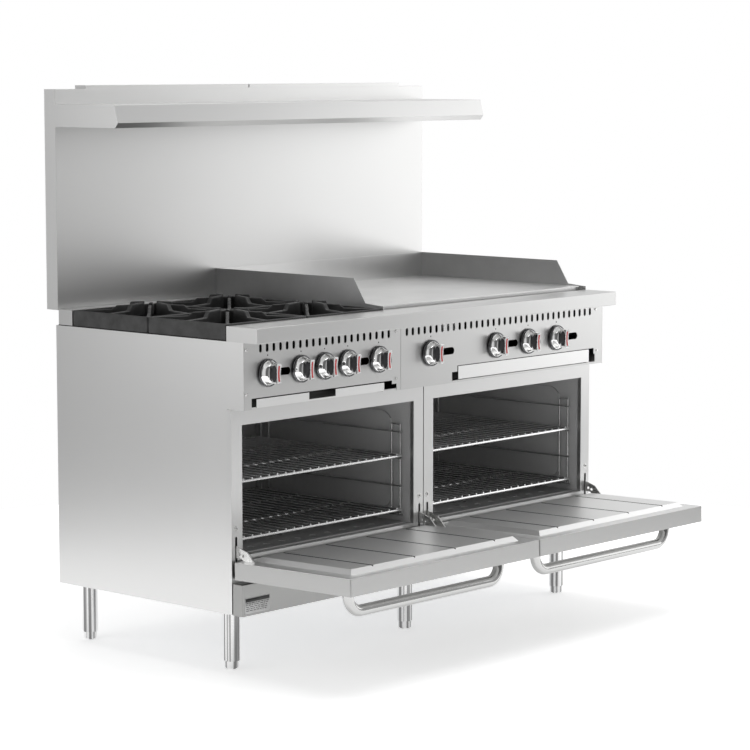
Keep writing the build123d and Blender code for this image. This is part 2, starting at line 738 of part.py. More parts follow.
def knob(x):
    """Dished bezel, inner cone and upright grip bar, on its spindle."""
    front = PANEL_FACE + 1.0
    profile = Polyline(
        (0, 0), (33, 0), (37, 2.5), (37, 8), (33.5, 10), (31, 7.5), (29, 8), (24, 15), (16, 17.5), (0, 17.5),
        close=True,
    )
    dish = revolve(Plane.XZ * make_face(profile), Axis.Z)
    grip = Pos(0, 0, 25) * Box(14, 46, 34)
    grip = fillet(grip.edges().filter_by(Axis.Z), 4)
    grip = fillet(grip.edges().group_by(Axis.Z)[-1], 1.5)
    body = fused([dish, grip]) - Cylinder(SPINDLE_R, 40)
    body = Pos(x, -front, KNOB_Z) * Rot(90, 0, 0) * body
    spindle = rod((x, 694, KNOB_Z), (x, front + 20, KNOB_Z), SPINDLE_R)
    return body, spindle


def valve(x, broad):
    """Gas cock on the manifold, with the bore for its spindle and the orifice to the burner."""
    half = 24 if broad else 14
    body = block((x - half, x + half), (673, 708), (779, 812 + (8 if broad else 0)))
    nose = rod((x, 708, KNOB_Z), (x, 722, KNOB_Z), 9)
    hood = rod((x, 645, KNOB_Z), (x, 673, KNOB_Z), 6.5)
    nipple = rod((x, PIPE_FORWARD, PIPE_Z), (x, PIPE_FORWARD, 779.5), 7)
    main = rod((-HALF, PIPE_FORWARD, PIPE_Z), (HALF, PIPE_FORWARD, PIPE_Z), PIPE_R)
    bore = rod((x, 692, KNOB_Z), (x, 724, KNOB_Z), SPINDLE_R + RUNNING_GAP)
    return fused([body, nose, hood, nipple]) - bore - main


def manifold():
    route = [(-715, PIPE_FORWARD, PIPE_Z), (PIPE_X, PIPE_FORWARD, PIPE_Z), (PIPE_X, -33, PIPE_Z)]
    pipe = bent_rod(route, PIPE_R, 30)
    cap = rod((-722, PIPE_FORWARD, PIPE_Z), (-706, PIPE_FORWARD, PIPE_Z), 16)
    coupling = rod((PIPE_X, 16, PIPE_Z), (PIPE_X, 46, PIPE_Z), 17)
    return fused([pipe, cap, coupling])


def sliding_pan(lips, top, pan_across, back, floor_z):
    """Shallow drawer of flat sheets: floor, four walls, top lips. Its front is added by the caller."""
    face_back = PANEL_FACE - TRAY_SHEET
    wall_front = 703.0
    wall_z = (floor_z + TRAY_SHEET, top)
    low, high = pan_across
    walls = [
        block((low, low + TRAY_SHEET), (back, wall_front), wall_z),
        block((high - TRAY_SHEET, high), (back, wall_front), wall_z),
        block((low + TRAY_SHEET, high - TRAY_SHEET), (back, back + TRAY_SHEET), wall_z),
        block(pan_across, (wall_front, wall_front + TRAY_SHEET), (wall_z[0], top - TRAY_SHEET)),
    ]
    floor = block(pan_across, (back, wall_front + TRAY_SHEET), (floor_z, wall_z[0]))
    folds = [block(across, (wall_front, face_back), (top - TRAY_SHEET, top)) for across in lips]
    return [floor] + folds + walls


def crumb_tray():
    """Tray under the burners, with a finger notch in the top edge of its front."""
    across, up = (-715, -218), (708, 731)
    depth = (PANEL_FACE - TRAY_SHEET, PANEL_FACE)
    notch_foot = 712.5
    sides = ((across[0], -516), (-413, across[1]))
    front = [block(across, depth, (up[0], notch_foot))]
    front += [block(side, depth, (notch_foot, up[1])) for side in sides]
    return front + sliding_pan(sides, up[1], (-712, -221), 90, 707)


def grease_drawer():
    """Drawer under the griddle, which takes the grease from the chute."""
    across, up = (95, 697), (713, 750)
    front = block(across, (PANEL_FACE - TRAY_SHEET, PANEL_FACE), up)
    return [front] + sliding_pan([across], up[1], (98, 694), 150, 712.4)


# ---------------------------------------------------------------- backguard and shelf
def backguard():
    """Riser of flat sheets: front, back, ends, and a top with two flue slots."""
    inside = (-HALF + SHEET, HALF - SHEET)
    depth = (GUARD_BACK + SHEET, GUARD_FRONT - SHEET)
    foot, roof = 922.5, TOTAL_TOP - SHEET
    top_z = (roof, TOTAL_TOP)
    slot_depth = (-28, 3)
    return [
        block((-HALF, HALF), (depth[1], GUARD_FRONT), (foot, TOTAL_TOP)),
        block((-HALF, HALF), (GUARD_BACK, depth[0]), (foot, TOTAL_TOP)),
        block((-HALF, inside[0]), depth, (foot, TOTAL_TOP)),
        block((inside[1], HALF), depth, (foot, TOTAL_TOP)),
        block(inside, (depth[0], slot_depth[0]), top_z),
        block(inside, (slot_depth[1], depth[1]), top_z),
        block((inside[0], -640), slot_depth, top_z),
        block((-30, 30), slot_depth, top_z),
        block((640, inside[1]), slot_depth, top_z),
        block((-HALF + 20, HALF - 20), (depth[1], GUARD_FRONT), (884, foot)),
    ]


def flue_cap(across):
    """Folded cover over one flue slot, open towards the back."""
    roof = TOTAL_TOP + 8.5
    front_back = 7.5
    return [
        block(across, (-34, 9), (roof, roof + SHEET)),
        block(across, (front_back, 9), (TOTAL_TOP, roof)),
        block((across[0], across[0] + SHEET), (-34, front_back), (TOTAL_TOP, roof)),
        block((across[1] - SHEET, across[1]), (-34, front_back), (TOTAL_TOP, roof)),
    ]


def high_shelf():
    """Folded shelf with a nosed front edge, open underneath."""
    top, foot = 1485, 1424
    inner_rear = GUARD_FRONT + SHEET
    inner = (-HALF + SHEET, HALF - SHEET)
    outline = [(GUARD_FRONT, top), (248, top), (260, 1438), (249, foot), (GUARD_FRONT, foot)]
    hollow = [
        (inner_rear, top - SHEET), (246.8, top - SHEET), (258.4, 1438.3), (249.6, foot + 3),
        (inner_rear, foot + SHEET),
    ]
    shelf = side_plate(outline, (-HALF, HALF)) - side_plate(hollow, inner)
    return shelf - block(inner, (inner_rear, 236), (foot - 4, foot + 4))


# ---------------------------------------------------------------- assembly
def build_body():
    add("side_panels", *side_panel(-1), *side_panel(1))
    add("back_panel", back_panel())
    add("base_frame", base_frame())
    add("toe_panel", toe_panel())
    for side in (-1, 1):
        add("oven_front_frames", oven_frame(side))
        for end in (-1, 1):
            add("oven_front_frames", hinge_bracket(side, end))
    for number, x in enumerate(LEG_X, start=1):
        for row, forward in zip(("rear", "front"), LEG_FORWARD):
            add("legs", leg(x, forward))
            add(f"foot_{row}_{number}", foot(x, forward))


def build_ovens():
    for side in (-1, 1):
        name = side_name(side)
        add(f"oven_liner_{name}", oven_liner(side), oven_floor(side))
        add("oven_burners", oven_burner(side))
        for end in (-1, 1):
            add("rack_guides", rack_guide(side, end))
        add(f"oven_rack_{name}_lower", oven_rack(side, GUIDE_LEVELS[0]))
        add(f"oven_rack_{name}_upper", oven_rack(side, GUIDE_LEVELS[2]))
    add("oven_insulation", *insulation())


def build_doors():
    for side in (-1, 1):
        name = side_name(side)
        add(f"door_pan_{name}", tipped(door_pan(side)))
        add(f"door_inner_{name}", tipped(door_inner(side)))
        add(f"door_insulation_{name}", tipped(door_wool(side)))
        add(f"door_handle_{name}", tipped(door_handle(side)))
        for end in (-1, 1):
            add(f"door_hinges_{name}", tipped(hinge_arm(side, end)), tipped(hinge_pin(side, end)))
            add(f"door_springs_{name}", door_spring(side, end))


def build_top():
    add("burner_box", *burner_box(), *griddle_box(), deck())
    add("burner_box", *tray_runner((-740, -714), 703, -1), *tray_runner((-219, -195), 703, 1))
    add("burner_box", *tray_runner((72, 97), 710, -1), *tray_runner((695, 718), 710, 1))
    add("top_rails", front_ledge(), rear_rail())
    for column, across in zip(("left", "right"), GRATE_X):
        for row, forward in zip(("rear", "front"), GRATE_FORWARD):
            add(f"grate_{row}_{column}", grate(across, forward))
    valves = iter(BURNER_VALVES)
    for x in BURNER_X:
        for forward in reversed(BURNER_FORWARD):
            add("open_burners", open_burner(next(valves), (x, forward)), burner_cap((x, forward)))
    for x in GRIDDLE_VALVES:
        add("griddle_burners", griddle_burner(x))
    add("griddle_plate", griddle_plate())
    add("griddle_splash", griddle_splash(), grease_trough())


def build_front():
    add("control_panels", control_panel_left(), control_panel_right())
    for x, z in PANEL_SCREWS:
        add("panel_screws", screw((x, PANEL_FACE, z)))
    names = {x: f"knob_burner_{number}" for number, x in enumerate(BURNER_VALVES, start=1)}
    names |= {x: f"knob_griddle_{number}" for number, x in enumerate(GRIDDLE_VALVES, start=1)}
    names |= {x: f"knob_oven_{side_name(x)}" for x in OVEN_VALVES}
    for x, name in names.items():
        add(name, *knob(x))
        add("gas_valves", valve(x, broad=x in OVEN_VALVES))
    add("gas_manifold", manifold())
    add("crumb_tray", *crumb_tray())
    add("grease_drawer", *grease_drawer())


def build_rear():
    add("backguard", *backguard(), *flue_cap((-650, -12)), *flue_cap((-8, 650)))
    add("high_shelf", high_shelf())


build_body()
build_ovens()
build_doors()
build_top()
build_front()
build_rear()

os.makedirs("parts", exist_ok=True)
for name, shapes in nodes.items():
    solids = [solid for shape in shapes for solid in shape.moved(Location((0, SHIFT_Y, 0))).solids()]
    export_step(Compound(solids) if len(solids) > 1 else solids[0], f"parts/{name}.step")
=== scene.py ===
"""Looks for the commercial gas range: materials, knobs, castings, label, studio and camera."""
import json
import math
import random

import bmesh
import bpy
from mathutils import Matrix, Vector

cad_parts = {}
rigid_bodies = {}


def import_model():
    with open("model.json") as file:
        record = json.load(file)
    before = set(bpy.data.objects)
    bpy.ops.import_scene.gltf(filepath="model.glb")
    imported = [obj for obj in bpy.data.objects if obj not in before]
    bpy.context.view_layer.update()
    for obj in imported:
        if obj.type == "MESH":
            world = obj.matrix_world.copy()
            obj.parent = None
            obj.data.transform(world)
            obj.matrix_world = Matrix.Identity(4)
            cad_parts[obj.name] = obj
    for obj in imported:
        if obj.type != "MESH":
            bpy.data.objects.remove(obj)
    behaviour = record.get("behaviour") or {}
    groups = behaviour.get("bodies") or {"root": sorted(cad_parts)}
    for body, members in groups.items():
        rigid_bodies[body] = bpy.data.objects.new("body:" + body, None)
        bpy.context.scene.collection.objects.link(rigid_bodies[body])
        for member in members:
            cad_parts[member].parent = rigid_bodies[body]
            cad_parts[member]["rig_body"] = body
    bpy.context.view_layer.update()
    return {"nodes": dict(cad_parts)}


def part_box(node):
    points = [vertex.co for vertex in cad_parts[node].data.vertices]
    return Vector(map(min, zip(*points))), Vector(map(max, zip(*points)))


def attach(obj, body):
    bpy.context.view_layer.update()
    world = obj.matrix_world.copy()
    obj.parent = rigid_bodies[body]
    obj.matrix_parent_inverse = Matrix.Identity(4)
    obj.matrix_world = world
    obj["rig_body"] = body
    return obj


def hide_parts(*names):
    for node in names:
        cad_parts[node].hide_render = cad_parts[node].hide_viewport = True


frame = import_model()
NODES = frame["nodes"]
MM = 0.001

# the camera stands in front of the range, to its left
CAMERA_PLACE = (-5.658, -5.050, 1.5955)
CAMERA_TURN = 48.05          # degrees from straight ahead, towards +X
CAMERA_DIP = 6.6             # degrees down
CAMERA_LENS = 129.2
CAMERA_SENSOR = 36.0
CAMERA_REACH = 60.0          # metres to where the view is cut off

# the room that the metal reflects, as (degrees round from +X, brightness); the camera sees a white backdrop
ROOM_BANDS = (
    (-180, 0.9), (-158, 0.9), (-150, 0.16), (-78, 0.18), (-66, 0.56), (-10, 0.6), (8, 1.0), (70, 1.0),
    (76, 0.52), (138, 0.52), (144, 0.22), (168, 0.22), (173, 0.9), (180, 0.9),
)
ROOM_LIGHT = 0.8
GROOVE_PITCH = 163 * MM      # grooves across the inner panels of the doors
GROOVE_REACH = 3.4 * MM      # half of a groove's width
HINGE_HOLE_Z = 390 * MM
FRAME_FACE_IN = 21 * MM      # the brackets stand this far in front of the oven frames
ARM_HALF = 1.75 * MM         # half the thickness of a hinge arm
FRONT_SLACK = 0.5 * MM       # how far behind the front plane a face still counts as front
CASTING_VOXEL = 1.7 * MM
FLOOR_RADIUS = 2.4
FLOOR_GLOW = (0.48, 0.7)     # at the middle and at the edge, where the floor runs into the backdrop
GLOW_START = 0.9             # the glow starts to rise this far from the middle

# knobs, in millimetres from the face of the control panel
KNOB_REACH = 42.5            # to the front of the blade
KNOB_RIM_TURN = ((33.0, 0.0), (35.6, 0.6), (36.9, 2.6), (36.9, 5.6), (35.8, 7.6), (34.2, 8.2), (33.0, 7.6))
KNOB_CONE_TURN = (
    (33.0, 7.6), (32.4, 8.0), (30.6, 11.5), (27.4, 17.0), (24.6, 21.0), (22.6, 22.2), (0.0, 22.2),
)
BLADE_HALF_HEIGHT = 26.0
BLADE_HOLLOW = 3.2           # how far its front is dished at the middle
BLADE_STEPS = 14
BLADE_START = 12.0           # the back of the blade, inside the cone
FINGER_HALF_DEPTH = 9.0
FINGER_HALF_HEIGHT = 21.5
FINGER_MIDDLE = -30.5
FINGER_RAISED = 8.75         # half widths of the dark oval, outside and inside the blade's side
FINGER_SUNK = 6.2
FINGER_STEPS = 32
PANEL_FACE_IN = 43 * MM      # the panel's face lies this far behind the front of a CAD knob
DOT_RISE = 46 * MM           # the printed dot above the middle of its knob
DOT_TURN = ((0, 0.3), (1.8, 0.3), (2.0, 0.1), (2.0, 0.0))
RIVET_TURN = ((7.0, 0.0), (6.8, 0.4), (6.2, 0.6), (3.2, 0.6), (2.4, 0.3), (2.4, -0.6))

LABEL_WIDTH, LABEL_HEIGHT = 92 * MM, 42 * MM
LABEL_IN = (10 * MM, 6 * MM)     # from the toe panel's left end and lower edge
LABEL_ROWS = 5
LABEL_SEED = 7


# ---------------------------------------------------------------- node helpers
def tint(color, factor):
    """A colour made lighter or darker."""
    return tuple(min(1.0, channel * factor) for channel in color)


class Surface:
    """A material with a Principled shader, and short calls for its nodes."""

    def __init__(self, name, color, roughness, metallic=0.0):
        self.material = bpy.data.materials.new(name)
        self.material.use_nodes = True
        self.tree = self.material.node_tree
        self.shader = self.tree.nodes["Principled BSDF"]
        self.shader.inputs["Base Color"].default_value = (*color, 1)
        self.shader.inputs["Roughness"].default_value = roughness
        self.shader.inputs["Metallic"].default_value = metallic

    def node(self, kind, **inputs):
        node = self.tree.nodes.new(kind)
        for name, value in inputs.items():
            node.inputs[name.replace("_", " ")].default_value = value
        return node

    def link(self, source, target):
        self.tree.links.new(source, target)

    def place(self, scale):
        """Object coordinates, stretched."""
        coords = self.node("ShaderNodeTexCoord")
        mapping = self.node("ShaderNodeMapping", Scale=scale)
        self.link(coords.outputs["Object"], mapping.inputs["Vector"])
        return mapping.outputs["Vector"]

    def noise(self, scale, detail=3.0, rough=0.55, stretch=(1, 1, 1)):
        noise = self.node("ShaderNodeTexNoise", Scale=scale, Detail=detail, Roughness=rough)
        self.link(self.place(stretch), noise.inputs["Vector"])
        return noise.outputs["Fac"]

    def spread(self, value, low, high, start=0.3, end=0.7):
        """A 0..1 value spread over a range."""
        node = self.node("ShaderNodeMapRange")
        for name, number in zip(("From Min", "From Max", "To Min", "To Max"), (start, end, low, high)):
            node.inputs[name].default_value = number
        self.link(value, node.inputs["Value"])
        return node.outputs["Result"]

    def colors(self, value, *stops):
        """A colour ramp from (position, grey or colour) stops."""
        ramp = self.node("ShaderNodeValToRGB")
        elements = ramp.color_ramp.elements
        while len(elements) < len(stops):
            elements.new(0.5)
        for element, (position, color) in zip(elements, stops):
            element.position = position
            rgb = color if isinstance(color, tuple) else (color, color, color)
            element.color = (*rgb, 1)
        self.link(value, ramp.inputs["Fac"])
        return ramp.outputs["Color"]

    def paint(self, color):
        self.link(color, self.shader.inputs["Base Color"])

    def rough(self, value):
        self.link(value, self.shader.inputs["Roughness"])

    def bump(self, height, strength, distance, under=None):
        bump = self.node("ShaderNodeBump", Strength=strength, Distance=distance)
        self.link(height, bump.inputs["Height"])
        if under is not None:
            self.link(under, bump.inputs["Normal"])
        self.link(bump.outputs["Normal"], self.shader.inputs["Normal"])

    def soft_edges(self, radius):
        bevel = self.node("ShaderNodeBevel", Radius=radius)
        bevel.samples = 4
        return bevel.outputs["Normal"]


# ---------------------------------------------------------------- materials
def brushed_steel(name, color, roughness, grain=(2, 160, 160), shade=0.012, edge=0.8 * MM):
    """Brushed sheet: fine streaks along the grain, slow cloudy variation, softened edges."""
    s = Surface(name, color, roughness, metallic=1.0)
    fine = s.noise(9.0, 4.0, 0.6, grain)
    cloud = s.noise(2.3, 2.0, 0.5)
    total = s.node("ShaderNodeMath")
    total.operation = "ADD"
    mean = s.node("ShaderNodeMath")
    mean.operation = "MULTIPLY"
    mean.inputs[1].default_value = 0.5
    s.link(fine, total.inputs[0])
    s.link(cloud, total.inputs[1])
    s.link(total.outputs["Value"], mean.inputs[0])
    s.paint(s.colors(mean.outputs["Value"], (0.36, tint(color, 1 - shade)), (0.64, tint(color, 1 + shade))))
    s.rough(s.spread(fine, roughness * 0.95, roughness * 1.05))
    s.bump(fine, 0.006, 0.1 * MM, s.soft_edges(edge))
    return s.material


def dark_plate(name, color, roughness):
    """Bare hot-rolled plate: mill scale in slow clouds, faint rub marks."""
    s = Surface(name, color, roughness, metallic=0.85)
    cloud = s.noise(6.0, 5.0, 0.6)
    rub = s.noise(14.0, 3.0, 0.6, (1, 18, 18))
    s.paint(s.colors(cloud, (0.3, tint(color, 0.92)), (0.7, tint(color, 1.08))))
    s.rough(s.spread(rub, roughness * 0.8, roughness * 1.2))
    s.bump(rub, 0.1, 0.2 * MM, s.soft_edges(0.8 * MM))
    return s.material


def cast_iron():
    """Sand-cast black iron: grainy skin and a tone that varies in slow clouds."""
    s = Surface("cast_iron_skin", (0.05, 0.05, 0.051), 0.55, metallic=0.35)
    grain = s.noise(420.0, 3.0, 0.6)
    cloud = s.noise(28.0, 3.0, 0.55)
    s.paint(s.colors(cloud, (0.3, 0.034), (0.7, 0.075)))
    s.rough(s.spread(cloud, 0.42, 0.64))
    s.bump(grain, 0.55, 0.6 * MM)
    s.shader.inputs["Specular IOR Level"].default_value = 0.6
    return s.material


def oven_enamel(name, base, speck):
    """Porcelain enamel: grey with a fine light fleck and a hard gloss."""
    s = Surface(name, (base, base, base), 0.36)
    fleck = s.noise(900.0, 1.0, 0.4)
    cloud = s.noise(5.0, 2.0, 0.5)
    s.paint(s.colors(fleck, (0.62, base), (0.74, speck)))
    s.rough(s.spread(cloud, 0.26, 0.4))
    s.bump(cloud, 0.15, 1.2 * MM, s.soft_edges(1.2 * MM))
    s.shader.inputs["Coat Weight"].default_value = 0.35
    s.shader.inputs["Coat Roughness"].default_value = 0.12
    return s.material


def chrome(name, color, roughness, wear=0.35):
    """Bright plating with a slight haze."""
    s = Surface(name, color, roughness, metallic=1.0)
    haze = s.noise(60.0, 3.0, 0.6)
    s.rough(s.spread(haze, roughness * (1 - wear), roughness * (1 + wear)))
    s.bump(haze, 0.04, 0.1 * MM)
    return s.material


def leg_tube():
    """Polished leg tube: broad light and dark bands along it, a painted reflection of a banded room; the
    roughness follows the same bands.
    """
    s = Surface("leg_stainless", (0.6, 0.6, 0.595), 0.16, metallic=1.0)
    painted_reflection_bands = s.noise(1.0, 1.5, 0.4, (95, 95, 0.6))
    # the colour ramp paints reflections: dark and bright bands running down the tube
    s.paint(s.colors(painted_reflection_bands, (0.38, 0.22), (0.46, 0.34), (0.54, 0.78), (0.62, 0.85)))
    s.rough(s.spread(painted_reflection_bands, 0.12, 0.24))
    s.bump(s.noise(300.0), 0.02, 0.1 * MM, s.soft_edges(0.8 * MM))
    return s.material


def griddle_steel():
    """Ground plate: short crossing grinding marks and a faint season in clouds."""
    s = Surface("griddle_ground_steel", (0.75, 0.75, 0.745), 0.36, metallic=1.0)
    marks = s.noise(10.0, 5.0, 0.65, (1, 45, 45))
    cloud = s.noise(3.2, 3.0, 0.6)
    s.paint(s.colors(cloud, (0.3, (0.7, 0.7, 0.695)), (0.7, (0.8, 0.8, 0.795))))
    s.rough(s.spread(marks, 0.32, 0.46))
    s.bump(marks, 0.15, 0.2 * MM, s.soft_edges(1.5 * MM))
    return s.material


def plain_coat(name, color, roughness, metallic=0.0, grain=180.0):
    """Paint, ink or plastic with a fine skin."""
    s = Surface(name, color, roughness, metallic)
    skin = s.noise(grain, 2.0, 0.5)
    s.paint(s.colors(skin, (0.3, tint(color, 0.9)), (0.7, tint(color, 1.1))))
    s.rough(s.spread(skin, roughness * 0.9, roughness * 1.1))
    s.bump(skin, 0.1, 0.15 * MM)
    return s.material


def spangled():
    """Coated sheet at the back and inside: large soft crystals."""
    s = Surface("aluminised_sheet", (0.5, 0.51, 0.52), 0.42, metallic=0.9)
    cells = s.node("ShaderNodeTexVoronoi", Scale=70.0)
    s.link(s.place((1, 1, 1)), cells.inputs["Vector"])
    s.paint(s.colors(cells.outputs["Distance"], (0.0, (0.44, 0.45, 0.46)), (0.8, (0.56, 0.57, 0.58))))
    s.rough(s.spread(cells.outputs["Distance"], 0.36, 0.5, 0.0, 0.8))
    s.bump(s.noise(160.0), 0.08, 0.2 * MM)
    return s.material


def mineral_wool():
    """Yellowish insulation mat with long fibres."""
    s = Surface("mineral_wool_mat", (0.62, 0.56, 0.36), 0.95)
    fibres = s.noise(90.0, 6.0, 0.7, (1, 4, 1))
    s.paint(s.colors(fibres, (0.3, (0.5, 0.44, 0.27)), (0.7, (0.72, 0.66, 0.45))))
    s.bump(fibres, 0.8, 4 * MM)
    return s.material


# one brushed stainless in copies of different tone per part: the toe panel, the door pans and the control
# panels are made darker as painted shade, the tray fronts and the door inner panels lighter as painted
# light
STEEL = brushed_steel("brushed_stainless", (0.76, 0.76, 0.755), 0.33)
STEEL_SIDE = brushed_steel("brushed_stainless_side", (0.76, 0.76, 0.755), 0.34, grain=(160, 2, 160))
STEEL_DOOR_PAINTED_LIGHT = brushed_steel("door_stainless_painted_light", (0.84, 0.84, 0.835), 0.4, grain=(160, 2, 160))
STEEL_PAN_PAINTED_SHADE = brushed_steel("door_pan_stainless_painted_shade", (0.5, 0.5, 0.495), 0.36)
STEEL_TUBE = brushed_steel("polished_tube", (0.55, 0.55, 0.545), 0.12, grain=(2, 40, 40), shade=0.02)
STEEL_PANEL_PAINTED_SHADE = brushed_steel("panel_stainless_painted_shade", (0.66, 0.66, 0.655), 0.33)
STEEL_GUARD = brushed_steel("guard_stainless", (0.74, 0.74, 0.735), 0.36)
STEEL_TOE_PAINTED_SHADE = brushed_steel("toe_stainless_painted_shade", (0.36, 0.36, 0.355), 0.34)
STEEL_TRAY_PAINTED_LIGHT = brushed_steel("tray_stainless_painted_light", (0.88, 0.88, 0.875), 0.34)
STEEL_LEG = leg_tube()
SPLASH = dark_plate("splash_plate", (0.55, 0.55, 0.55), 0.38)
# dark sheet for the trays, drawers and burner box; in the door grooves it is painted shade
INSIDE = dark_plate("blackened_sheet_and_groove_shade", (0.035, 0.035, 0.035), 0.6)
IRON = cast_iron()
ENAMEL = oven_enamel("oven_enamel_grey", 0.64, 0.8)
ENAMEL_FLOOR = oven_enamel("oven_enamel_floor", 0.22, 0.34)
WIRE = chrome("chromed_wire", (0.86, 0.86, 0.86), 0.16)
PLATED = chrome("plated_steel", (0.72, 0.72, 0.71), 0.24)
KNOB_CHROME = chrome("knob_bright", (0.86, 0.86, 0.86), 0.07)
KNOB_RIM = chrome("knob_dark_rim", (0.13, 0.13, 0.135), 0.2)
GRIDDLE = griddle_steel()
ZINC = spangled()
BRASS = chrome("aged_brass", (0.16, 0.12, 0.06), 0.4)
PIPE = plain_coat("black_pipe_coat", (0.03, 0.03, 0.03), 0.45)
WOOL = mineral_wool()
GRIP_BLACK = plain_coat("grip_black", (0.045, 0.045, 0.048), 0.32, grain=500.0)
RED = plain_coat("pointer_red", (0.62, 0.015, 0.02), 0.4, grain=300.0)
WHITE = plain_coat("pointer_white", (0.86, 0.86, 0.86), 0.4, grain=300.0)
LABEL_PAPER = plain_coat("label_silver", (0.62, 0.62, 0.62), 0.45, metallic=0.3, grain=300.0)
LABEL_INK = plain_coat("label_ink", (0.03, 0.03, 0.03), 0.5, grain=300.0)

NODE_LOOKS = {
    "side_panels": STEEL_SIDE, "back_panel": ZINC, "backguard": STEEL_GUARD, "high_shelf": STEEL_GUARD,
    "toe_panel": STEEL_TOE_PAINTED_SHADE, "control_panels": STEEL_PANEL_PAINTED_SHADE, "top_rails": STEEL_PANEL_PAINTED_SHADE,
    "oven_front_frames": STEEL,
    "griddle_splash": SPLASH, "legs": STEEL_LEG, "crumb_tray": INSIDE, "grease_drawer": INSIDE,
    "base_frame": ZINC, "burner_box": INSIDE,
    "griddle_plate": GRIDDLE, "gas_manifold": PIPE, "gas_valves": BRASS, "open_burners": IRON,
    "griddle_burners": ZINC, "oven_burners": IRON, "rack_guides": WIRE, "oven_insulation": WOOL,
    "panel_screws": PLATED,
}
FAMILY_LOOKS = {
    "foot_": STEEL_LEG, "grate_": IRON, "knob_": KNOB_CHROME, "oven_rack": WIRE, "oven_liner": ENAMEL,
    "door_pan": STEEL_PAN_PAINTED_SHADE, "door_inner": STEEL_DOOR_PAINTED_LIGHT, "door_handle": STEEL_TUBE, "door_hinges": PLATED,
    "door_springs": PLATED, "door_insulation": WOOL,
}


def look_of(node):
    """The material of a CAD node."""
    if node in NODE_LOOKS:
        return NODE_LOOKS[node]
    for start, look in FAMILY_LOOKS.items():
        if node.startswith(start):
            return look
    raise ValueError(f"no material for {node}")


def second_look(node, look, faces_where):
    """Another material on the faces that pass the test."""
    mesh = NODES[node].data
    mesh.materials.append(look)
    for face in mesh.polygons:
        if faces_where(face):
            face.material_index = 1


def front_test(pan):
    """Whether a face lies in the front plane of a tray or drawer."""
    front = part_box(pan)[0].y

    def in_front(face):
        return face.normal.y < -0.5 and face.center.y < front + FRONT_SLACK

    return in_front


def groove_shade_test(door):
    """Whether a face lies in one of the four grooves of a door's inner panel; these faces get the dark
    sheet as painted shade.
    """
    low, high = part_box(door)
    middle = (low.x + high.x) / 2
    lines = [middle + (number - 1.5) * GROOVE_PITCH for number in range(4)]

    def in_groove(face):
        return face.normal.z > 0.2 and any(abs(face.center.x - line) < GROOVE_REACH for line in lines)

    return in_groove


def dress_nodes():
    """Materials for every CAD node, and second ones where a node shows two."""
    for name, obj in NODES.items():
        obj.data.materials.clear()
        obj.data.materials.append(look_of(name))
    second_look("griddle_splash", STEEL, lambda face: abs(face.normal.x) < 0.5)
    for pan in ("crumb_tray", "grease_drawer"):
        # the tray and drawer fronts take the lighter copy of the stainless, a painted light
        second_look(pan, STEEL_TRAY_PAINTED_LIGHT, front_test(pan))
    for side in ("left", "right"):
        second_look(f"oven_liner_{side}", ENAMEL_FLOOR, lambda face: face.normal.z > 0.5)
        # the grooves are laid in dark sheet: painted shade
        second_look(f"door_inner_{side}", INSIDE, groove_shade_test(f"door_inner_{side}"))


# ---------------------------------------------------------------- mesh helpers
def piece_from(name, build, materials, body):
    """A new object from a function that fills a bmesh."""
    mesh = bpy.data.meshes.new(name)
    work = bmesh.new()
    build(work)
    bmesh.ops.recalc_face_normals(work, faces=work.faces)
    work.to_mesh(mesh)
    work.free()
    obj = bpy.data.objects.new(name, mesh)
    bpy.context.scene.collection.objects.link(obj)
    for material in materials:
        mesh.materials.append(material)
    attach(obj, body)
    return obj


def lathe(work, profile, place, steps=64, material=0):
    """Turns (radius, height) points round the -Y axis at `place`; height runs towards the cook."""
    rings = []
    for radius, height in profile:
        ring = []
        count = 1 if radius < 1e-6 else steps
        for number in range(count):
            angle = 2 * math.pi * number / steps
            spot = Vector((radius * math.cos(angle), -height, radius * math.sin(angle)))
            ring.append(work.verts.new(spot * MM + place))
        rings.append(ring)
    for near, far in zip(rings, rings[1:]):
        for number in range(steps):
            after = (number + 1) % steps
            edge = [near[number % len(near)], near[after % len(near)]]
            edge += [far[after % len(far)], far[number % len(far)]]
            corners = list(dict.fromkeys(edge))      # a ring of one point gives a triangle
            if len(corners) > 2:
                face = work.faces.new(corners)
                face.material_index = material
                face.smooth = True


def slab(work, low, high, material):
    """A box between two corners in metres."""
    made = bmesh.ops.create_cube(work, size=1.0)
    size = Vector(high) - Vector(low)
    middle = (Vector(high) + Vector(low)) / 2
    bmesh.ops.scale(work, vec=size, verts=made["verts"])
    bmesh.ops.translate(work, vec=middle, verts=made["verts"])
    for face in {face for vert in made["verts"] for face in vert.link_faces}:
        face.material_index = material
        face.smooth = True


# ---------------------------------------------------------------- knobs
def knob_blade(work, centre):
    """Upright blade with a dished front, its white plate and the red line, swept from top to bottom."""
    bands = (          # half width, share of the height, front and back behind the blade's front, material
        (8.6, 1.0, 0.0, KNOB_REACH - BLADE_START, 0),
        (7.6, 0.97, -0.25, 1.0, 3),
        (3.1, 0.8, -0.5, 0.8, 4),
    )
    for half_width, height_share, lead, tail, material in bands:
        tall = BLADE_HALF_HEIGHT * height_share
        previous = None
        for number in range(BLADE_STEPS + 1):
            z = tall * (2 * number / BLADE_STEPS - 1)
            share = z / BLADE_HALF_HEIGHT
            waist = half_width * (0.86 + 0.14 * share * share)
            if material == 0:
                waist *= math.sqrt(max(0.0, 1 - max(0.0, abs(share) - 0.86) ** 2 * 26))
            front = -KNOB_REACH + lead + BLADE_HOLLOW * (1 - share * share)
            back = front + tail - lead
            spots = ((-waist, front), (waist, front), (waist, back), (-waist, back))
            ring = [work.verts.new(Vector((x, y, z)) * MM + centre) for x, y in spots]
            if previous:
                for corner in range(4):
                    after = (corner + 1) % 4
                    face = work.faces.new((previous[corner], previous[after], ring[after], ring[corner]))
                    face.material_index = material
                    face.smooth = False
            else:
                work.faces.new(ring[::-1]).material_index = material
            previous = ring
        work.faces.new(previous).material_index = material


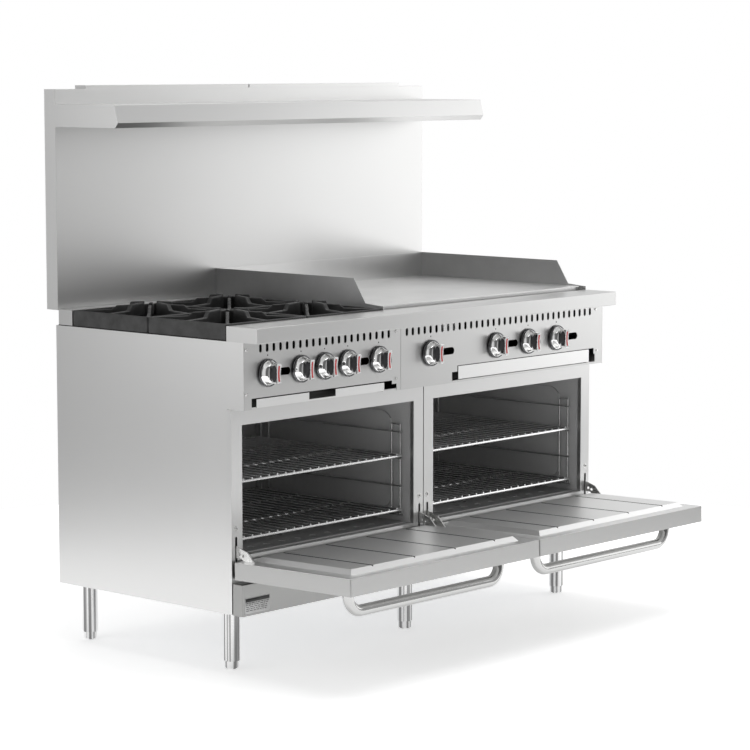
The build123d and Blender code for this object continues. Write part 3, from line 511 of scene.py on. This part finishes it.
def finger_dish(work, centre, side):
    """Dark oval pressed into one side of the blade."""
    outline = []
    for number in range(FINGER_STEPS):
        angle = 2 * math.pi * number / FINGER_STEPS
        depth = FINGER_HALF_DEPTH * math.cos(angle) + FINGER_MIDDLE
        outline.append((depth, FINGER_HALF_HEIGHT * math.sin(angle)))
    raised, sunk = side * FINGER_RAISED, side * FINGER_SUNK
    outer = [work.verts.new(Vector((raised, y, z)) * MM + centre) for y, z in outline]
    inner = [work.verts.new(Vector((sunk, y, z)) * MM + centre) for y, z in outline]
    for number in range(FINGER_STEPS):
        after = (number + 1) % FINGER_STEPS
        work.faces.new((outer[number], outer[after], inner[after], inner[number])).material_index = 2
    for ring in (outer, inner):
        work.faces.new(ring).material_index = 2


def knob_look(node):
    """Bright cone on a dark rim, and a blade with dark finger dishes and a red line on white."""
    low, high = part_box(node)
    centre = Vector(((low.x + high.x) / 2, low.y + KNOB_REACH * MM, (low.z + high.z) / 2))

    def build(work):
        lathe(work, KNOB_RIM_TURN, centre, material=1)
        lathe(work, KNOB_CONE_TURN, centre, material=0)
        knob_blade(work, centre)
        for side in (-1, 1):
            finger_dish(work, centre, side)

    materials = (KNOB_CHROME, KNOB_RIM, GRIP_BLACK, WHITE, RED)
    obj = piece_from(f"{node}_look", build, materials, node)
    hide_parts(node)


def index_dot(node):
    """Small printed dot on the panel above a knob."""
    low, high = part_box(node)
    place = Vector(((low.x + high.x) / 2, low.y + PANEL_FACE_IN, (low.z + high.z) / 2 + DOT_RISE))

    def build(work):
        lathe(work, DOT_TURN, place, steps=20)

    piece_from(f"{node}_index", build, (LABEL_INK,), "range_body")


def frame_rivets():
    """Flat rivet rings round the holes above the hinge slots; the closed doors clear them."""
    face_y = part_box("oven_front_frames")[0].y + FRAME_FACE_IN
    for side in ("left", "right"):
        low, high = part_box(f"door_hinges_{side}")
        for end, x in (("left", low.x + ARM_HALF), ("right", high.x - ARM_HALF)):
            place = Vector((x, face_y, HINGE_HOLE_Z))

            def build(work, place=place):
                lathe(work, RIVET_TURN, place, steps=32)

            piece_from(f"frame_rivet_{side}_{end}", build, (PLATED,), "range_body")


# ---------------------------------------------------------------- castings
def casting(node):
    """The same shape with the rounded edges and slightly uneven skin of a sand casting."""
    source = NODES[node]
    mesh = source.data.copy()
    obj = bpy.data.objects.new(f"{node}_casting", mesh)
    bpy.context.scene.collection.objects.link(obj)
    remesh = obj.modifiers.new("skin", "REMESH")
    remesh.mode = "VOXEL"
    remesh.voxel_size = CASTING_VOXEL
    remesh.use_smooth_shade = True
    smooth = obj.modifiers.new("round", "SMOOTH")
    smooth.factor = 0.5
    smooth.iterations = 2
    depsgraph = bpy.context.evaluated_depsgraph_get()
    done = bpy.data.meshes.new_from_object(obj.evaluated_get(depsgraph))
    obj.modifiers.clear()
    obj.data = done
    done.materials.clear()
    done.materials.append(IRON)
    for polygon in done.polygons:
        polygon.use_smooth = True
    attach(obj, source["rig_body"])
    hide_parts(node)


# ---------------------------------------------------------------- label
def rating_label():
    """Plain rating label on the toe panel: a dark heading bar and rows of short blank rules."""
    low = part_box("toe_panel")[0]
    left, bottom, face = low.x + LABEL_IN[0], low.z + LABEL_IN[1], low.y
    right, top = left + LABEL_WIDTH, bottom + LABEL_HEIGHT

    def build(work):
        slab(work, (left, face - 0.3 * MM, bottom), (right, face, top), material=0)
        bar_low = (left + 2 * MM, face - 0.5 * MM, top - 11 * MM)
        slab(work, bar_low, (right - 2 * MM, face, top - 2 * MM), material=1)
        dice = random.Random(LABEL_SEED)
        for row in range(LABEL_ROWS):
            z = top - (15 + row * 5) * MM
            x = left + 4 * MM
            while x < right - 12 * MM:
                run = dice.uniform(5, 14) * MM
                end = min(x + run, right - 4 * MM)
                slab(work, (x, face - 0.45 * MM, z), (end, face, z + 1.6 * MM), material=1)
                x += run + 3 * MM

    piece_from("rating_label", build, (LABEL_PAPER, LABEL_INK), "range_body")


# ---------------------------------------------------------------- studio
def reflected_room(tree, background):
    """Paints a world background with ROOM_BANDS, by the direction round the vertical."""
    coords = tree.nodes.new("ShaderNodeTexCoord")
    split = tree.nodes.new("ShaderNodeSeparateXYZ")
    direction = tree.nodes.new("ShaderNodeMath")
    direction.operation = "ARCTAN2"
    spread = tree.nodes.new("ShaderNodeMapRange")
    spread.inputs["From Min"].default_value = -math.pi
    spread.inputs["From Max"].default_value = math.pi
    ramp = tree.nodes.new("ShaderNodeValToRGB")
    tree.links.new(coords.outputs["Generated"], split.inputs["Vector"])
    tree.links.new(split.outputs["Y"], direction.inputs[0])
    tree.links.new(split.outputs["X"], direction.inputs[1])
    tree.links.new(direction.outputs["Value"], spread.inputs["Value"])
    tree.links.new(spread.outputs["Result"], ramp.inputs["Fac"])
    elements = ramp.color_ramp.elements
    while len(elements) < len(ROOM_BANDS):
        elements.new(0.5)
    for element, (degrees, grey) in zip(elements, ROOM_BANDS):
        element.position = degrees / 360 + 0.5
        element.color = (grey, grey, grey, 1)
    tree.links.new(ramp.outputs["Color"], background.inputs["Color"])


def surroundings():
    """A room for the metal to reflect, and a white backdrop for the camera."""
    scene = bpy.context.scene
    scene.view_settings.view_transform = "Standard"
    world = bpy.data.worlds.new("studio")
    scene.world = world
    world.use_nodes = True
    tree = world.node_tree
    room = tree.nodes["Background"]
    room.inputs["Strength"].default_value = ROOM_LIGHT
    reflected_room(tree, room)
    backdrop = tree.nodes.new("ShaderNodeBackground")
    backdrop.inputs["Color"].default_value = (1, 1, 1, 1)
    seen = tree.nodes.new("ShaderNodeLightPath")
    mix = tree.nodes.new("ShaderNodeMixShader")
    tree.links.new(seen.outputs["Is Camera Ray"], mix.inputs["Fac"])
    tree.links.new(room.outputs["Background"], mix.inputs[1])
    tree.links.new(backdrop.outputs["Background"], mix.inputs[2])
    tree.links.new(mix.outputs["Shader"], tree.nodes["World Output"].inputs["Surface"])


def pale_floor():
    """Round pale floor, which glows towards its edge so that it runs into the backdrop."""
    mesh = bpy.data.meshes.new("floor")
    disc = bmesh.new()
    bmesh.ops.create_circle(disc, cap_ends=True, segments=96, radius=FLOOR_RADIUS)
    disc.to_mesh(mesh)
    disc.free()
    floor = bpy.data.objects.new("floor", mesh)
    bpy.context.scene.collection.objects.link(floor)
    paper = Surface("floor_paper", (0.93, 0.93, 0.93), 0.8)
    paper.shader.inputs["Emission Color"].default_value = (1, 1, 1, 1)
    reach = paper.node("ShaderNodeVectorMath")
    reach.operation = "LENGTH"
    paper.link(paper.place((1, 1, 1)), reach.inputs[0])
    glow = paper.spread(reach.outputs["Value"], *FLOOR_GLOW, GLOW_START, FLOOR_RADIUS)
    paper.link(glow, paper.shader.inputs["Emission Strength"])
    mesh.materials.append(paper.material)


def area_light(name, place, target, size, power):
    """A rectangular lamp that the camera doesn't see; sizes in metres, power in watts."""
    light = bpy.data.lights.new(name, "AREA")
    light.shape = "RECTANGLE"
    light.size, light.size_y = size
    light.energy = power
    obj = bpy.data.objects.new(name, light)
    obj.location = place
    obj.rotation_euler = (Vector(target) - Vector(place)).to_track_quat("-Z", "Y").to_euler()
    obj.visible_camera = False
    bpy.context.scene.collection.objects.link(obj)


def lights():
    """Two soft panels at the sides and a large one overhead."""
    area_light("right_panel", (3.4, -1.6, 1.5), target=(0, 0.1, 0.9), size=(2.4, 2.6), power=22)
    area_light("left_panel", (-3.6, 1.45, 1.5), target=(-0.7, 0.1, 0.7), size=(2.4, 2.2), power=19)
    area_light("overhead_panel", (0.2, -0.6, 4.2), target=(0, 0, 0.9), size=(3.5, 2.5), power=70)


def camera():
    """The camera of the main view."""
    data = bpy.data.cameras.new("camera")
    data.lens = CAMERA_LENS
    data.sensor_width = CAMERA_SENSOR
    data.clip_end = CAMERA_REACH
    obj = bpy.data.objects.new("camera", data)
    obj.location = CAMERA_PLACE
    obj.rotation_euler = (math.radians(90 - CAMERA_DIP), 0, math.radians(-CAMERA_TURN))
    bpy.context.scene.collection.objects.link(obj)
    bpy.context.scene.camera = obj


camera()
surroundings()
pale_floor()
lights()
dress_nodes()
for node in sorted(NODES):
    if node.startswith("knob_"):
        knob_look(node)
        index_dot(node)
    if node.startswith("grate_"):
        casting(node)
rating_label()
frame_rivets()
